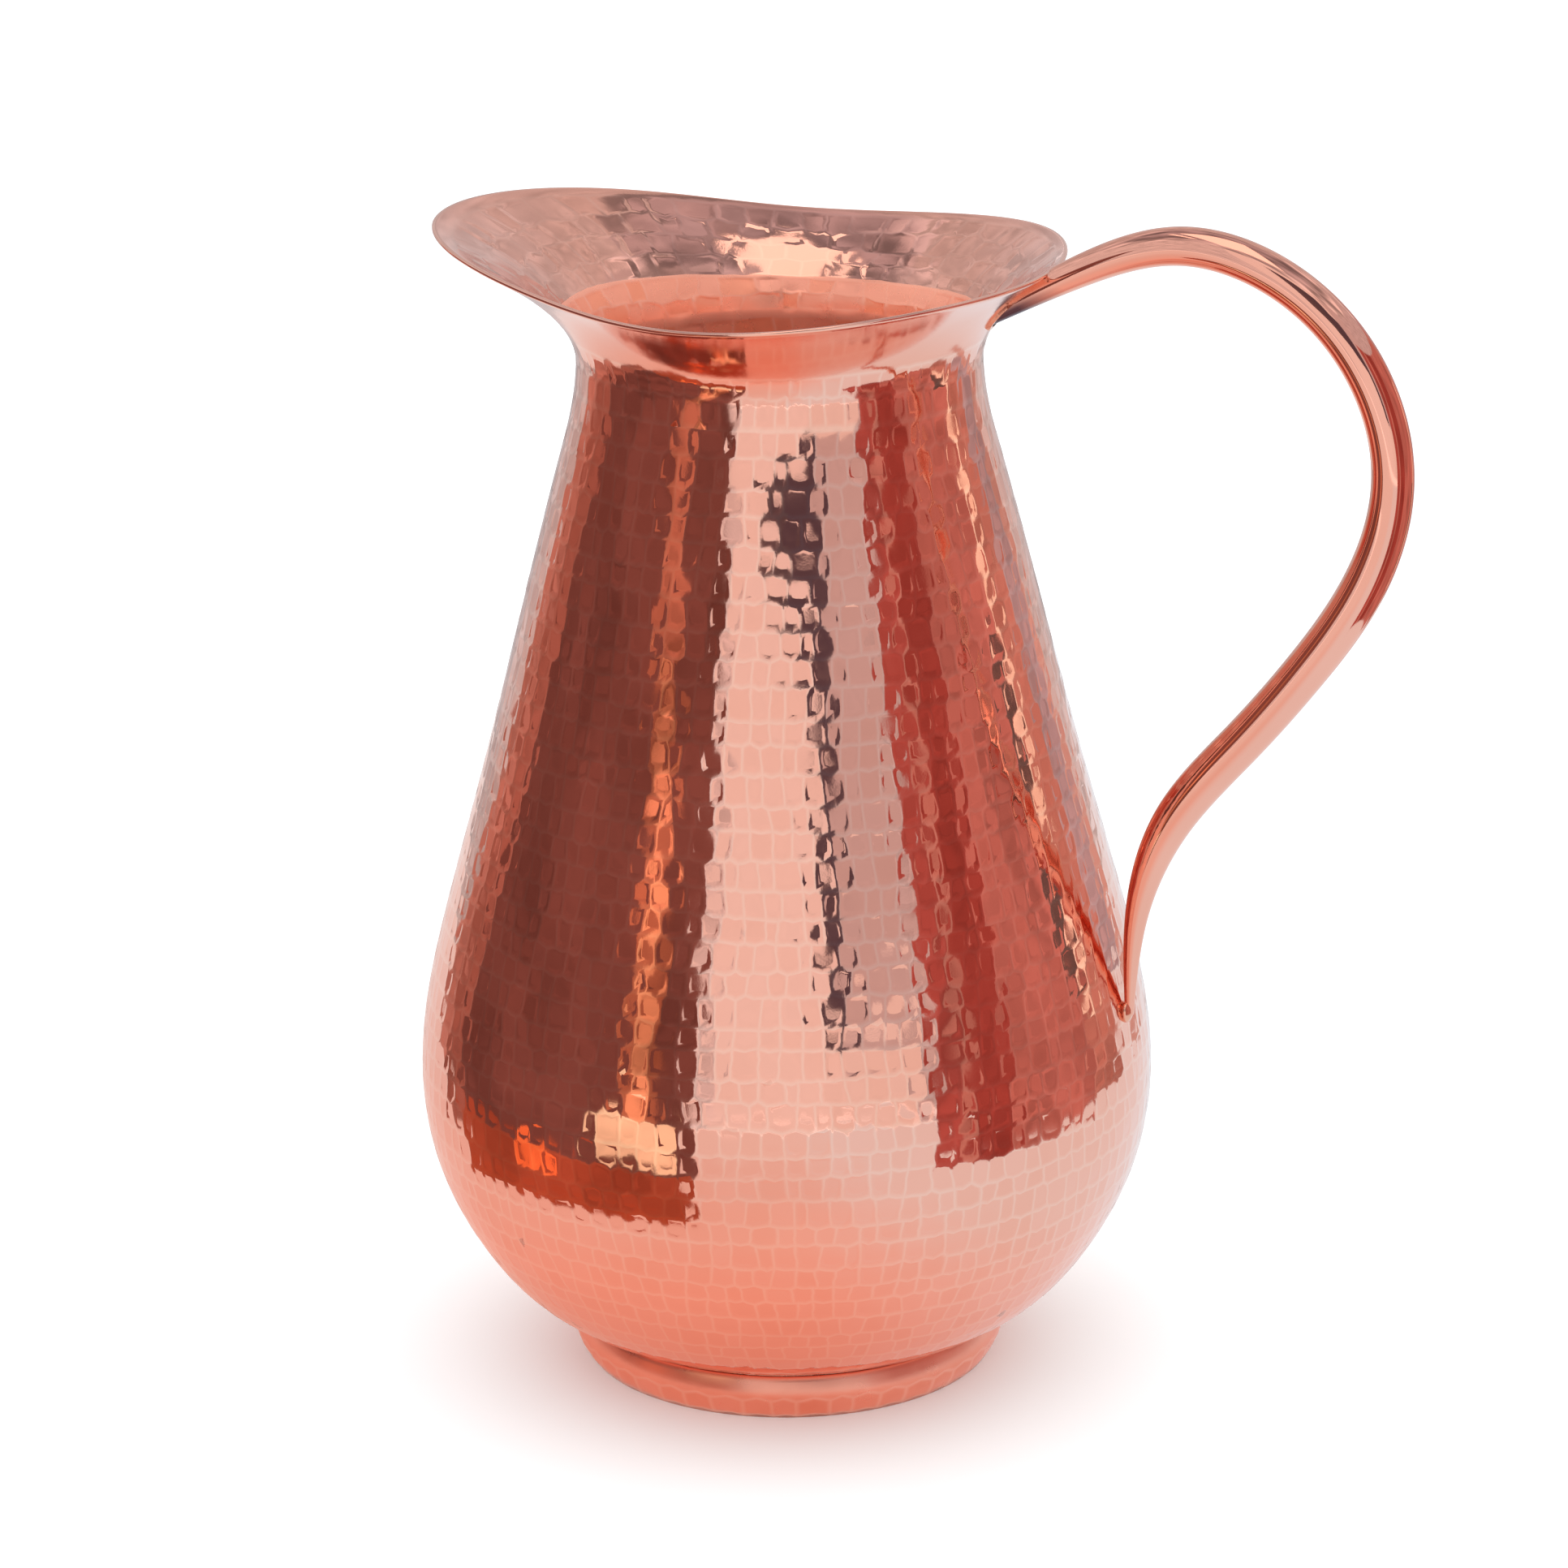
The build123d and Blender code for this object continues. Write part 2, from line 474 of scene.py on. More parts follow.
vessel = {
    "sheet": 1.0,
    "outline": [
        (26.0, 4.0), (38.0, 7.8), (47.0, 11.4), (56.2, 17.4), (64.9, 28.0), (71.6, 41.5),
        (75.0, 61.0), (70.0, 93.0), (60.5, 127.4), (51.6, 161.9), (43.6, 192.0),
        (41.0, 203.0), (40.3, 209.8),
    ],
    "lipReach": (60.5, 4.0, 2.6, 3.4, 0.5, -0.3),      # waves round the axis, from the spout
    "lipHeight": (230.4, 1.8, 2.8, 0.7, -0.3),
    "flareSlant": 29.0,
    "flareWidening": 18.0,          # on average round the axis
    "underLoops": (0.35, 0.7, 0.95),
    "firstRidge": 11.4,             # height of the lowest ridge line, just above the foot
    "lastRidge": 204.6,             # height of the highest one, just under the neck
    "lowCell": (4.25, 5.0),         # width and height of a hammer mark on the belly
    "highCell": (3.7, 5.6),         # and on the shoulder
    "cellChange": (70.0, 125.0),    # heights between which one changes to the other
    "neckGap": 0.4,                 # from the body's marks to those of the neck
    "neckRidges": (1.6, 8.6),       # how far up the flare the neck's ridge lines lie
    "neckCells": [72, 74],
    "flareLoops": [10, 12.5, 15, 17.5, 20, 22, 24, 26, 27.5],
    "flareUneven": (0.02, 0.014),   # near the neck, and from flareSmooth on
    "flareSmooth": 13,
    "rimSteps": 6,
    "rimWearAndHighlight": (0.8, 0.3),          # paler from wear and a painted highlight, on the rounding and just inside it
    "rimInside": 0.9,
    "mouthRidges": [10.6, 14.8, 19.0, 23.2, 27.2],
    "mouthCells": [45, 48, 52, 56],
    "bendRidges": [0.9, 5.6, 9.9],
    "bendCells": [42, 44],
    "throatStart": 26.0,            # below the neck
    "throatRow": 6.3,
    "throatCells": [40, 40, 39, 38],
    "insideLoops": 22,
    "insideCount": 96,
    "smoothCount": 192,
}
bellyBlow = {
    "slip": 0.22, "lean": 0.12, "merge": 0.18, "wave": 0.30, "sway": 0.6, "edgeWave": 0.3,
    "arch": 0.0, "sag": 0.75, "rise": 0.016, "edge": 0.58, "round": 0.55, "floor": 0.78,
    "droop": 0.36, "depth": 0.068, "flat": 0.6, "dish": 0.010, "groove": 0.020,
    "tilt": 1.15, "nod": 1.3, "nodTilt": 0.6,
}
neckBlow = dict(
    bellyBlow, slip=0.30, wave=0.9, sag=0.4, droop=0.0, depth=0.030, tilt=1.6, nod=0.0,
    nodTilt=1.0, edge=0.7,
)
mouthBlow = dict(
    bellyBlow, slip=0.24, lean=0.14, wave=0.7, sag=0.5, edge=0.40, round=0.30, droop=0.0,
    depth=0.05, dish=0.02, tilt=2.3, nod=0.0, nodTilt=2.3,
)
throatBlow = dict(mouthBlow, depth=0.15, dish=0.1, tilt=2.4, nodTilt=2.4)

wallLine = throughPoints(vessel["outline"])
wallAlong = lengthsAlong(wallLine)
wallTangent = np.gradient(wallLine, axis=0)
wallTangent /= np.linalg.norm(wallTangent, axis=1)[:, None]
neckRadius, neckHeight = vessel["outline"][-1]


def waves(amounts, turn):
    return sum(amount * math.cos(k * (turn - math.pi)) for k, amount in enumerate(amounts))


def alongAt(height):
    return float(np.interp(height, wallLine[:, 1], wallAlong))


def wallPlace(turn, along, out):
    radius = float(np.interp(along, wallAlong, wallLine[:, 0]))
    height = float(np.interp(along, wallAlong, wallLine[:, 1]))
    run = float(np.interp(along, wallAlong, wallTangent[:, 0]))
    climb = float(np.interp(along, wallAlong, wallTangent[:, 1]))
    radius += climb * out
    return radius * math.cos(turn), radius * math.sin(turn), height - run * out


def outsidePlace(turn, along, out):
    # up the wall and on over the outside of the flare
    if along <= wallAlong[-1]:
        return wallPlace(turn, along, out)
    return flarePlace(turn, along - wallAlong[-1], out)


def wallRadius(along):
    return float(np.interp(along, wallAlong, wallLine[:, 0]))


def flarePlace(turn, along, out):
    share = along / vessel["flareSlant"]
    widening = waves(vessel["lipReach"], turn) - neckRadius
    climb = waves(vessel["lipHeight"], turn) - neckHeight
    radius = neckRadius + widening * share ** 2
    height = neckHeight + climb * share
    run = 2 * widening * share
    size = math.hypot(run, climb)
    radius += climb / size * out
    return radius * math.cos(turn), radius * math.sin(turn), height - run / size * out


def flareInside(turn, along, out):
    return flarePlace(turn, along, -vessel["sheet"] - out)


def wallInside(turn, along, out):
    return wallPlace(turn, along, -vessel["sheet"] - out)


def mouthRadius(along):
    return neckRadius + vessel["flareWidening"] * (along / vessel["flareSlant"]) ** 2


def vesselRadius(turn, height):
    # outside radius of the vessel in a direction, at a height
    if height <= neckHeight:
        return float(np.interp(height, wallLine[:, 1], wallLine[:, 0]))
    climb = waves(vessel["lipHeight"], turn) - neckHeight
    share = min((height - neckHeight) / climb, 1)
    return neckRadius + (waves(vessel["lipReach"], turn) - neckRadius) * share ** 2


def ridgeLines():
    # ridge lines up the body and the number of marks in each row between them
    low, high = vessel["cellChange"]
    lines = [alongAt(vessel["firstRidge"])]
    end = alongAt(vessel["lastRidge"])
    cells = []
    while lines[-1] < end:
        height = float(np.interp(lines[-1], wallAlong, wallLine[:, 1]))
        share = min(max((height - low) / (high - low), 0), 1)
        tall = vessel["lowCell"][1] + (vessel["highCell"][1] - vessel["lowCell"][1]) * share
        wide = vessel["lowCell"][0] + (vessel["highCell"][0] - vessel["lowCell"][0]) * share
        lines.append(lines[-1] + tall)
        cells.append(round(fullTurn * wallRadius(lines[-1] - tall / 2) / wide))
    stretch = (end - lines[0]) / (lines[-1] - lines[0])
    return [lines[0] + (line - lines[0]) * stretch for line in lines], cells


def buildVessel():
    shell = newShell()
    count = vessel["smoothCount"]
    hammered, polished, mouth, throat = 0, 1, 2, 3
    # underside up to the first ridge line
    edge = addRing(shell, wallPlace, 0, 0, count)
    closeLoop(shell, edge, (0, 0, vessel["outline"][0][1]), hammered, True)
    lines, cells = ridgeLines()
    last = edge
    for share in vessel["underLoops"]:
        loop = addRing(shell, wallPlace, lines[0] * share, 0, count)
        joinLoops(shell, last, loop, hammered)
        last = loop
    first, top = hammeredWall(shell, wallPlace, wallRadius, lines, cells, bellyBlow, hammered)
    joinLoops(shell, last, first, hammered)
    # taller, softer marks round the neck, then the smooth outside of the flare
    neckAlong = wallAlong[-1]
    neckLines = [lines[-1] + vessel["neckGap"]]
    neckLines += [neckAlong + up for up in vessel["neckRidges"]]
    low, high = hammeredWall(
        shell, outsidePlace, wallRadius, neckLines, vessel["neckCells"], neckBlow, hammered)
    joinLoops(shell, top, low, hammered)
    last = high
    half = vessel["sheet"] / 2
    rimStart = vessel["flareSlant"] - half
    for along in vessel["flareLoops"] + [rimStart]:
        uneven = vessel["flareUneven"][along >= vessel["flareSmooth"]]
        loop = addRing(shell, flarePlace, along, 0, count, 0, uneven)
        joinLoops(shell, last, loop, polished)
        last = loop
    # rounded rim, bright with wear and a painted highlight
    steps = vessel["rimSteps"]
    outerWearAndHighlight, innerWearAndHighlight = vessel["rimWearAndHighlight"]
    for step in range(1, steps):
        angle = math.pi * step / steps
        along, out = rimStart + half * math.sin(angle), -half + half * math.cos(angle)
        loop = addRing(shell, flarePlace, along, out, count, outerWearAndHighlight)
        joinLoops(shell, last, loop, polished)
        last = loop
    for along in (rimStart, rimStart - vessel["rimInside"]):
        loop = addRing(shell, flareInside, along, 0, count, innerWearAndHighlight)
        joinLoops(shell, last, loop, mouth)
        last = loop
    # hammer marks inside the flare, from the throat up to the rim
    low, high = hammeredWall(
        shell, flareInside, mouthRadius, vessel["mouthRidges"], vessel["mouthCells"], mouthBlow,
        mouth, True)
    joinLoops(shell, high, last, mouth, True)
    # lumpy throat, up into the flare and down into the neck
    bend, top = hammeredWall(
        shell, flareInside, mouthRadius, vessel["bendRidges"], vessel["bendCells"], throatBlow,
        throat, True)
    joinLoops(shell, top, low, throat, True)
    deepest = neckAlong - vessel["throatStart"]
    throatLines = [
        deepest + vessel["throatRow"] * k for k in range(len(vessel["throatCells"]) + 1)]
    deep, top = hammeredWall(
        shell, wallInside, wallRadius, throatLines, vessel["throatCells"], throatBlow, throat, True)
    joinLoops(shell, top, bend, throat, True)
    # plain inside of the body
    last = deep
    loops = vessel["insideLoops"]
    for k in range(1, loops + 1):
        loop = addRing(shell, wallInside, deepest * (1 - k / loops), 0, vessel["insideCount"])
        joinLoops(shell, loop, last, throat, True)
        last = loop
    closeLoop(shell, last, (0, 0, vessel["outline"][0][1] + vessel["sheet"]), throat)
    return finishedObject(
        shell, "vessel", [hammeredCopper, flareCopper, mouthCopper, throatCopper])


vesselPiece = buildVessel()
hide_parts("vessel_body")
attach(vesselPiece, "root")
print("vessel made,", len(vesselPiece.data.polygons), "faces")


# foot: dished ring with one row of hammer marks on its band

foot = {
    "sheet": 1.0,
    "band": [(42.3, 0.0), (43.7, 2.2), (44.6, 4.9)],
    "shoulder": [(44.6, 4.9), (44.2, 7.3), (43.3, 9.6)],
    "margin": 0.5,      # plain copper between the marks and the band's edges
    "shoulderGap": 0.6,
    "shoulderLoops": 5,
    "roundedEdge": [(0.15, -0.2), (0.0, -0.5), (0.15, -0.8)],     # short of the top, inward
    "insideLoops": 7,
    "cells": 46,
}
footBlow = dict(
    bellyBlow, slip=0.14, lean=0.05, wave=0.12, sway=0.0, sag=0.0, arch=0.8, edge=0.45,
    depth=0.06, dish=0.02, droop=0.0, nod=0.0,
)


def lathed(line):
    # places on a wall turned from a line, out of it to the right of the line's run
    along = lengthsAlong(line)
    tangent = np.gradient(line, axis=0)
    tangent /= np.linalg.norm(tangent, axis=1)[:, None]

    def place(turn, at, out):
        radius, height = (float(np.interp(at, along, line[:, c])) for c in (0, 1))
        run, climb = (float(np.interp(at, along, tangent[:, c])) for c in (0, 1))
        radius += climb * out
        return radius * math.cos(turn), radius * math.sin(turn), height - run * out

    return place, float(along[-1])


def buildFoot():
    shell = newShell()
    count = vessel["smoothCount"]
    profile = throughPoints(foot["band"] + foot["shoulder"][1:])
    place, length = lathed(profile)
    crease = float(np.interp(foot["band"][-1][1], profile[:, 1], lengthsAlong(profile)))
    margin, gap = foot["margin"], foot["shoulderGap"]
    bandRadius = foot["band"][1][0]
    base = addRing(shell, place, 0, 0, count)
    low, high = hammeredWall(
        shell, place, lambda along: bandRadius, [margin, crease - margin], [foot["cells"]],
        footBlow, 0)
    joinLoops(shell, base, low, 0)
    last = high
    loops = foot["shoulderLoops"]
    for k in range(loops):
        along = crease + gap + (length - crease - margin - gap) * k / (loops - 1)
        loop = addRing(shell, place, along, 0, count)
        joinLoops(shell, last, loop, 0)
        last = loop
    for short, out in foot["roundedEdge"]:
        loop = addRing(shell, place, length - short, out, count)
        joinLoops(shell, last, loop, 0)
        last = loop
    loops = foot["insideLoops"]
    for k in range(loops):
        along = (length - gap) * (1 - k / (loops - 1))
        loop = addRing(shell, place, along, -foot["sheet"], count)
        joinLoops(shell, last, loop, 0)
        last = loop
    joinLoops(shell, last, base, 0)
    return finishedObject(shell, "foot", [footCopper])


footPiece = buildFoot()
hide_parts("foot_ring")
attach(footPiece, "root")
print("foot made,", len(footPiece.data.polygons), "faces")


# handle: solid polished rod, both ends lying on the vessel

grip = {
    # along the handle: distance from the jug's axis, height and thickness
    "line": [
        (42.8, 221.1, 4.2), (62.0, 231.4, 6.3), (82.4, 237.8, 7.6), (103.5, 232.1, 8.0),
        (118.7, 217.2, 8.2), (125.2, 196.4, 8.3), (120.8, 175.4, 8.8), (109.5, 156.7, 8.7),
        (96.1, 139.7, 8.7), (82.5, 122.4, 8.1), (75.2, 102.2, 4.8), (73.8, 80.5, 1.8),
    ],
    "rings": 240,
    "around": 56,
    "sink": 0.3,                    # how far the scarfed ends sit in the vessel's wall
    "tip": 0.8,
    "paintedShadeReach": 24.0,                 # how far the painted shade and reflection of the flare's dark underside reaches from the upper end
    "paintedShadeFade": 1.5,
    "paintedShadeSide": (0.55, 1.1),     # its share at the side, and its growth to the underside
}


def settle(x, y, z):
    # a spot inside the vessel moves out to just under the vessel's outside
    turn = math.atan2(y, x)
    away = math.hypot(x, y)
    least = vesselRadius(turn, z) - grip["sink"]
    if away < least:
        x, y = x * least / away, y * least / away
    return x, y, z


def buildGrip():
    shell = newShell()
    line = throughPoints(grip["line"])
    along = lengthsAlong(line)
    tangent = np.gradient(line[:, :2], axis=0)
    tangent /= np.linalg.norm(tangent, axis=1)[:, None]
    middle, deepening = grip["paintedShadeSide"]
    last = None
    for k in range(grip["rings"]):
        at = along[-1] * k / (grip["rings"] - 1)
        x, z, width = (float(np.interp(at, along, line[:, c])) for c in range(3))
        tx, tz = (float(np.interp(at, along, tangent[:, c])) for c in range(2))
        loop = []
        for i in range(grip["around"]):
            turn = fullTurn * i / grip["around"]
            up, side = math.cos(turn) * width / 2, math.sin(turn) * width / 2
            spot = settle(x - tz * up, side, z + tx * up)
            # painted shade and reflection of the flare's dark underside, strongest at the upper end
            under = min(max(middle - deepening * math.cos(turn), 0), 1)
            paintedShade = under * min(max(grip["paintedShadeFade"] * (1 - at / grip["paintedShadeReach"]), 0), 1)
            loop.append((turn, addSpot(shell, spot, paintedShade)))     # the ridge value carries the painted shade into the grip's dark ridge colour
        if last:
            joinLoops(shell, last, loop, 0)
        else:
            closeLoop(shell, loop, settle(x, 0, z), 0, True)
        last = loop
    closeLoop(shell, last, (float(line[-1][0]), 0, float(line[-1][1]) - grip["tip"]), 0)
    return finishedObject(shell, "grip", [gripCopper])


gripPiece = buildGrip()
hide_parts("handle")
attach(gripPiece, "root")
print("handle made,", len(gripPiece.data.polygons), "faces")


# brazed seams: the nodes' own shapes, in braze metal

for node in ("foot_braze", "upper_handle_braze", "lower_handle_braze"):
    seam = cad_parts[node]
    for k in range(max(len(seam.material_slots), 1)):
        if k >= len(seam.material_slots):
            seam.data.materials.append(brazeCopper)
        seam.material_slots[k].material = brazeCopper
print("brazed seams finished")


# studio: pale floor, soft light, and screens that only reflections see

studio = {
    "cameraTurn": 21.12,                    # degrees round from the front
    "floorSize": 9.0,
    "floorColour": (0.95, 0.95, 0.95),
    "floorRough": 0.9,
    "shadowColour": (0.915, 0.985, 0.99),
    "shadowReach": (0.03, 0.13),            # where the floor's tone starts and ends to change
    "skyColour": (0.97, 0.97, 0.98),
    "skyStrength": 1.5,
    "arcStep": 4,                           # degrees
    "frontSide": (-23, 40),                 # far screens in this sector glow evenly
    "farScreen": 0.5,
    "evenGlow": 0.04,
    "unevenGlow": 0.30,
    "leaningUneven": 0.5,
    "shadeUneven": 0.2,
    "glowPatches": (24.0, 3.0, (0.3, 0.7)),     # noise scale, detail and range that counts
    "shadeHeight": 0.0006,
    "sheenHeight": 0.0003,
    "sheenReach": (0.043, 0.9),
    "sheenCool": (0.86, 0.97, 1.04),        # the sheen's colour on the camera's right
    "sheenCooling": (-0.01, 0.125),
    "ceilingHeight": 1.1,
    "ceilingReach": 2.2,
    "ceilingUneven": 0.5,
    "ceilingPatches": (4.0, 2.0, (0.35, 0.65)),
    "paneHeight": 1.05,
    "paneColour": (1.5, 1.4, 1.32),
}
# each screen: from and to in degrees from the camera's side, distance, bottom, top, colour
screens = [
    (-180, -128, 0.55, 0.00, 0.9, (0.60, 0.60, 0.62)),
    (-128, -112, 0.30, 0.00, 0.30, (0.50, 0.24, 0.20)),
    (-112, -98, 0.20, 0.00, 0.28, (0.36, 0.15, 0.12)),
    (-98, -23, 0.162, 0.034, 0.265, (0.20, 0.085, 0.075)),
    (-98, -23, 0.162, 0.00, 0.034, (0.40, 0.10, 0.055)),
    (-48, -27, 0.158, 0.040, 0.066, (1.25, 1.10, 0.80)),
    (-72, -62, 0.158, 0.016, 0.038, (1.05, 0.26, 0.09)),
    (-128, -23, 1.00, 0.00, 1.2, (0.76, 0.78, 0.82)),
    (-23, 13, 1.00, 0.00, 1.2, (0.94, 0.95, 0.96)),
    (-10, -3, 0.98, 0.430, 0.90, (0.13, 0.10, 0.12)),
    (-3, 4, 0.98, 0.405, 0.90, (0.11, 0.09, 0.11)),
    (4, 13, 0.98, 0.382, 0.90, (0.10, 0.08, 0.11)),
    (13, 19, 0.98, 0.20, 0.75, (0.10, 0.08, 0.11)),
    (13, 19, 1.00, 0.00, 1.2, (0.90, 0.90, 0.90)),
    (19, 40, 0.98, 0.20, 1.2, (0.62, 0.60, 0.64)),
    (19, 40, 1.00, 0.00, 1.2, (0.90, 0.90, 0.90)),
    (40, 48, 0.26, 0.00, 0.30, (0.42, 0.11, 0.10)),
    (48, 51, 0.26, 0.00, 0.30, (0.56, 0.28, 0.25)),
    (51, 64, 0.26, 0.00, 0.30, (0.36, 0.08, 0.07)),
    (64, 97, 0.26, 0.00, 0.30, (0.52, 0.22, 0.20)),
    (98, 101, 0.255, 0.06, 0.24, (1.15, 1.00, 0.85)),
    (97, 114, 0.28, 0.00, 0.30, (0.58, 0.29, 0.25)),
    (114, 126, 0.28, 0.05, 0.30, (0.50, 0.44, 0.50)),
    (92, 97, 0.25, 0.08, 0.16, (0.12, 0.09, 0.09)),
    (126, 132, 0.28, 0.00, 0.30, (0.64, 0.42, 0.38)),
    (40, 128, 1.00, 0.00, 1.2, (0.60, 0.60, 0.65)),
    (128, 180, 0.60, 0.00, 1.0, (0.64, 0.64, 0.66)),
]
# leaning glows on the left screen: distance, then low and high end (from, to, height), colour
leaningGlows = [
    (0.160, (-41, -31, 0.066), (-42, -33, 0.135), (0.50, 0.20, 0.12)),
    (0.159, (-37.5, -34, 0.066), (-39, -35.5, 0.135), (1.00, 0.52, 0.30)),
    (0.160, (-42, -33, 0.135), (-48, -38, 0.180), (0.42, 0.17, 0.11)),
    (0.159, (-39, -36, 0.135), (-45, -41.5, 0.180), (0.85, 0.40, 0.24)),
    (0.160, (-48, -38, 0.180), (-56, -46, 0.235), (0.46, 0.19, 0.13)),
]
# darker parts of the floor's sheen: from and to, near and far, colour
floorShades = [(-98, -24, 0.141, 0.175, (0.44, 0.10, 0.05))]
# colours that reflections find on the floor and the ceiling, by distance from the axis
floorGlow = [
    (0.045, (0.78, 0.38, 0.30)), (0.080, (0.94, 0.56, 0.47)), (0.130, (0.93, 0.70, 0.64)),
    (0.240, (0.87, 0.74, 0.71)), (0.450, (0.90, 0.88, 0.88)),
]
ceilingGlow = [
    (0.10, (0.33, 0.32, 0.37)), (0.50, (0.42, 0.41, 0.46)), (1.00, (0.84, 0.86, 0.90)),
]
# bright panes overhead: side and side, then near and far toward the camera, in metres
panes = [(-0.20, 0.22, -0.08, 0.58), (-0.31, -0.26, -0.04, 0.36)]


def glowFinish(name, colour):
    material, tree = newMaterial(name)
    tree.nodes.clear()
    glow = tree.nodes.new("ShaderNodeEmission")
    glow.inputs["Color"].default_value = (*colour, 1)
    output = tree.nodes.new("ShaderNodeOutputMaterial")
    tree.links.new(glow.outputs["Emission"], output.inputs["Surface"])
    return material


def makeUneven(material, patches, uneven):
    # the glow brightens and dims softly from place to place
    tree = material.node_tree
    scale, detail, counted = patches
    where = tree.nodes.new("ShaderNodeTexCoord")
    cloud = tree.nodes.new("ShaderNodeTexNoise")
    cloud.inputs["Scale"].default_value = scale
    cloud.inputs["Detail"].default_value = detail
    tree.links.new(where.outputs["Object"], cloud.inputs["Vector"])
    level = spread(tree, cloud.outputs["Fac"], counted, (1 - uneven, 1 + uneven))
    tree.links.new(level, tree.nodes["Emission"].inputs["Strength"])


def unevenGlow(name, colour, uneven):
    material = glowFinish(name, colour)
    makeUneven(material, studio["glowPatches"], uneven)
    return material


def ringGlow(name, rings):
    # an even glow whose colour follows the distance from the axis
    reach, outerColour = rings[-1]
    material = glowFinish(name, outerColour)
    nodes, links = material.node_tree.nodes, material.node_tree.links
    where = nodes.new("ShaderNodeTexCoord")
    flat = nodes.new("ShaderNodeVectorMath")
    flat.operation = "MULTIPLY"
    flat.inputs[1].default_value = (1, 1, 0)
    away = nodes.new("ShaderNodeVectorMath")
    away.operation = "LENGTH"
    share = nodes.new("ShaderNodeMath")
    share.operation = "DIVIDE"
    share.inputs[1].default_value = reach
    ramp = nodes.new("ShaderNodeValToRGB")
    while len(ramp.color_ramp.elements) < len(rings):
        ramp.color_ramp.elements.new(0.5)
    for element, (distance, colour) in zip(ramp.color_ramp.elements, rings):
        element.position = distance / reach
        element.color = (*colour, 1)
    links.new(where.outputs["Object"], flat.inputs[0])
    links.new(flat.outputs["Vector"], away.inputs[0])
    links.new(away.outputs["Value"], share.inputs[0])
    links.new(share.outputs["Value"], ramp.inputs["Fac"])
    links.new(ramp.outputs["Color"], nodes["Emission"].inputs["Color"])
    return material


def coolOneSide(material, colour):
    # the glow changes to this colour toward the camera's right
    tree = material.node_tree
    angle = math.radians(studio["cameraTurn"])
    where = tree.nodes.new("ShaderNodeTexCoord")
    across = tree.nodes.new("ShaderNodeVectorMath")
    across.operation = "DOT_PRODUCT"
    across.inputs[1].default_value = (math.cos(angle), math.sin(angle), 0)
    tree.links.new(where.outputs["Object"], across.inputs[0])
    cool = spread(tree, across.outputs["Value"], studio["sheenCooling"], (0, 1), "SMOOTHSTEP")
    factor, first, second, result = colourMixer(tree)
    glow = tree.nodes["Emission"].inputs["Color"]
    tree.links.new(cool, factor)
    tree.links.new(glow.links[0].from_socket, first)
    second.default_value = (*colour, 1)
    tree.links.new(result, glow)


def onlyInReflections(thing):
    thing.visible_camera = False
    thing.visible_diffuse = False
    thing.visible_shadow = False
    thing.visible_transmission = False


def addStageMesh(name, spots, faces, material):
    data = bpy.data.meshes.new(name)
    data.from_pydata(spots, [], faces)
    data.materials.append(material)
    thing = bpy.data.objects.new(name, data)
    bpy.context.scene.collection.objects.link(thing)
    return thing


def roundJug(degrees, distance, height):
    # a spot round the jug, in degrees from the camera's side
    angle = math.radians(studio["cameraTurn"] - 90 + degrees)
    return distance * math.cos(angle), distance * math.sin(angle), height


def addArc(name, start, end, inner, outer, material):
    # a strip round the axis between two rims, each a distance and a height
    steps = max(2, round((end - start) / studio["arcStep"]))
    spots = []
    for i in range(steps + 1):
        degrees = start + (end - start) * i / steps
        spots += [roundJug(degrees, *inner), roundJug(degrees, *outer)]
    faces = [(2 * i, 2 * i + 2, 2 * i + 3, 2 * i + 1) for i in range(steps)]
    onlyInReflections(addStageMesh(name, spots, faces, material))


def addLeaning(name, distance, low, high, material):
    # a leaning patch on a round screen: its low and high end, each from, to and height
    spots = []
    for start, end, height in (low, high):
        for degrees in (start, (start + end) / 2, end):
            spots.append(roundJug(degrees, distance, height))
    onlyInReflections(addStageMesh(name, spots, [(0, 1, 4, 3), (1, 2, 5, 4)], material))


def addPane(name, left, right, near, far):
    angle = math.radians(studio["cameraTurn"])
    side, front = (math.cos(angle), math.sin(angle)), (math.sin(angle), -math.cos(angle))
    spots = []
    for across, ahead in ((left, near), (right, near), (right, far), (left, far)):
        x, y = (side[c] * across + front[c] * ahead for c in (0, 1))
        spots.append((x, y, studio["paneHeight"]))
    glow = glowFinish(name, studio["paneColour"])
    onlyInReflections(addStageMesh(name, spots, [(0, 1, 2, 3)], glow))


def addFloor():
    half = studio["floorSize"] / 2
    corners = [(-half, -half, 0), (half, -half, 0), (half, half, 0), (-half, half, 0)]
    material, tree = newMaterial("paleFloor")
    shader = tree.nodes["Principled BSDF"]
    shader.inputs["Roughness"].default_value = studio["floorRough"]
    shader.inputs["Specular IOR Level"].default_value = 0.0
    where = tree.nodes.new("ShaderNodeTexCoord")
    away = tree.nodes.new("ShaderNodeVectorMath")
    away.operation = "LENGTH"
    tree.links.new(where.outputs["Object"], away.inputs[0])
    share = spread(tree, away.outputs["Value"], studio["shadowReach"], (0, 1), "SMOOTHSTEP")
    factor, near, far, result = colourMixer(tree)
    near.default_value = (*studio["shadowColour"], 1)
    far.default_value = (*studio["floorColour"], 1)
    tree.links.new(share, factor)
    tree.links.new(result, shader.inputs["Base Color"])
    addStageMesh("floor", corners, [(0, 1, 2, 3)], material)


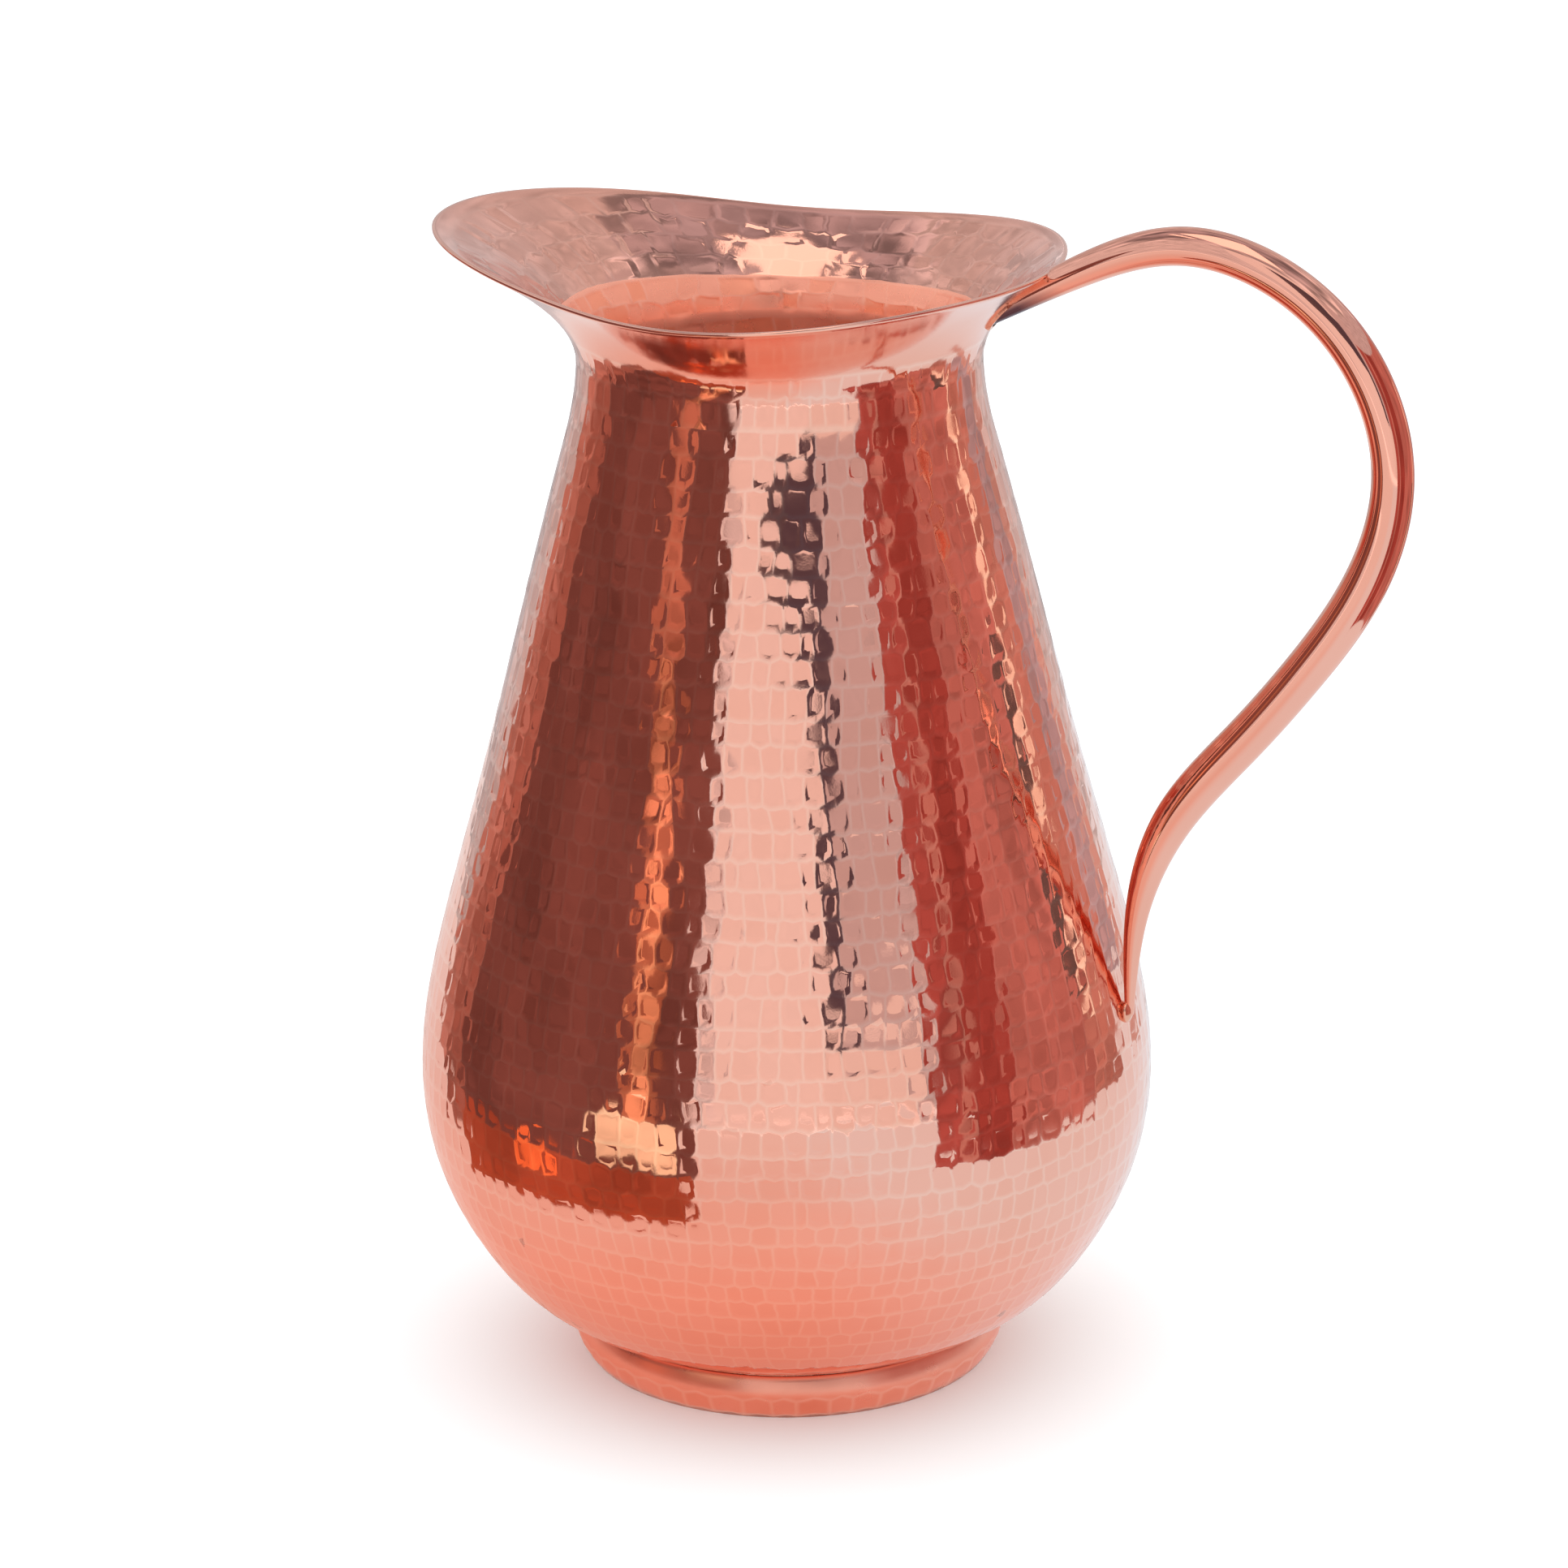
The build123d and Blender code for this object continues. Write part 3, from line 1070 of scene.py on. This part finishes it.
for k, (start, end, distance, bottom, top, colour) in enumerate(screens):
    left, right = studio["frontSide"]
    inFront = distance >= studio["farScreen"] and end > left and start < right
    uneven = studio["evenGlow"] if inFront else studio["unevenGlow"]
    glow = unevenGlow(f"screenGlow{k}", colour, uneven)
    addArc(f"screen{k}", start, end, (distance, bottom), (distance, top), glow)
for k, (distance, low, high, colour) in enumerate(leaningGlows):
    glow = unevenGlow(f"leaningGlow{k}", colour, studio["leaningUneven"])
    addLeaning(f"leaning{k}", distance, low, high, glow)
for k, (start, end, near, far, colour) in enumerate(floorShades):
    glow = unevenGlow(f"floorShadeGlow{k}", colour, studio["shadeUneven"])
    height = studio["shadeHeight"]
    addArc(f"floorShade{k}", start, end, (near, height), (far, height), glow)
for k, pane in enumerate(panes):
    addPane(f"pane{k}", *pane)
sheen = ringGlow("floorGlow", floorGlow)
coolOneSide(sheen, studio["sheenCool"])
near, far = studio["sheenReach"]
addArc("floorSheen", 0, 360, (near, studio["sheenHeight"]), (far, studio["sheenHeight"]), sheen)
overhead = ringGlow("ceilingGlow", ceilingGlow)
makeUneven(overhead, studio["ceilingPatches"], studio["ceilingUneven"])
height = studio["ceilingHeight"]
addArc("ceiling", 0, 360, (0.0, height), (studio["ceilingReach"], height), overhead)
addFloor()

world = bpy.data.worlds.new("studioSky")
bpy.context.scene.world = world
world.use_nodes = True
sky = world.node_tree.nodes["Background"]
sky.inputs["Color"].default_value = (*studio["skyColour"], 1)
sky.inputs["Strength"].default_value = studio["skyStrength"]
print("studio set")


# camera

camera = {
    "turn": studio["cameraTurn"],
    "raise": 17.78,
    "roll": 0.58,
    "distance": 1.1,
    "aim": 0.1211,      # height of the spot that it looks at
    "lens": 124.4,
    "sensor": 36,
}
turn, lift = math.radians(camera["turn"]), math.radians(camera["raise"])
back = Vector((math.sin(turn) * math.cos(lift), -math.cos(turn) * math.cos(lift), math.sin(lift)))
eye = bpy.data.objects.new("camera", bpy.data.cameras.new("camera"))
eye.data.lens = camera["lens"]
eye.data.sensor_width = camera["sensor"]
eye.location = Vector((0, 0, camera["aim"])) + back * camera["distance"]
around = Matrix.Rotation(turn, 3, "Z")
down = Matrix.Rotation(math.pi / 2 - lift, 3, "X")
roll = Matrix.Rotation(-math.radians(camera["roll"]), 3, "Z")
eye.rotation_euler = (around @ down @ roll).to_euler()
bpy.context.scene.collection.objects.link(eye)
bpy.context.scene.camera = eye
bpy.context.scene.view_settings.view_transform = "Standard"
print("camera set")
